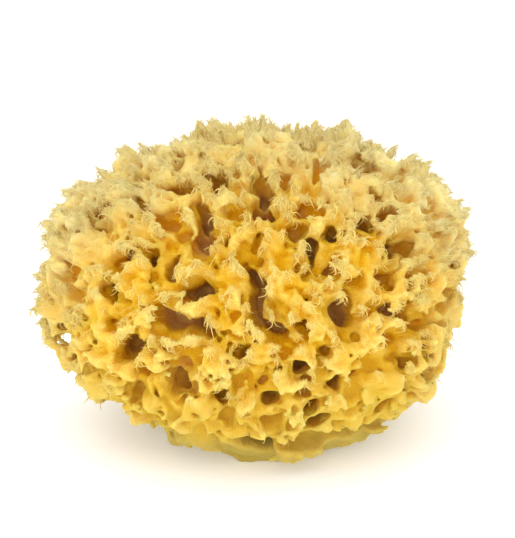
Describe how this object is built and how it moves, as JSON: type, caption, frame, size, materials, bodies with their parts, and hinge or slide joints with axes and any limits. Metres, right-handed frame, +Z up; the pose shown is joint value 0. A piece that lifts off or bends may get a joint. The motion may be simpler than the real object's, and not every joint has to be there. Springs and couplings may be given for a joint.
{
  "type": "sea sponge",
  "caption": "Natural sea sponge with a tufted crown full of holes, for bathing or cleaning, resting on its flat cut base.",
  "frame": {"origin": "middle of the flat face where the sponge was cut from the rock", "axes": "+Z up, away from the cut face; +X along the longest side; -Y is the side that the picture shows"},
  "size_m": [0.1412, 0.1176, 0.1022],
  "materials": {
    "sponge_fibre": "matt, springy, fibrous"
  },
  "bodies": {
    "root": {"sponge": "sponge_fibre"}
  },
  "joints": []
}
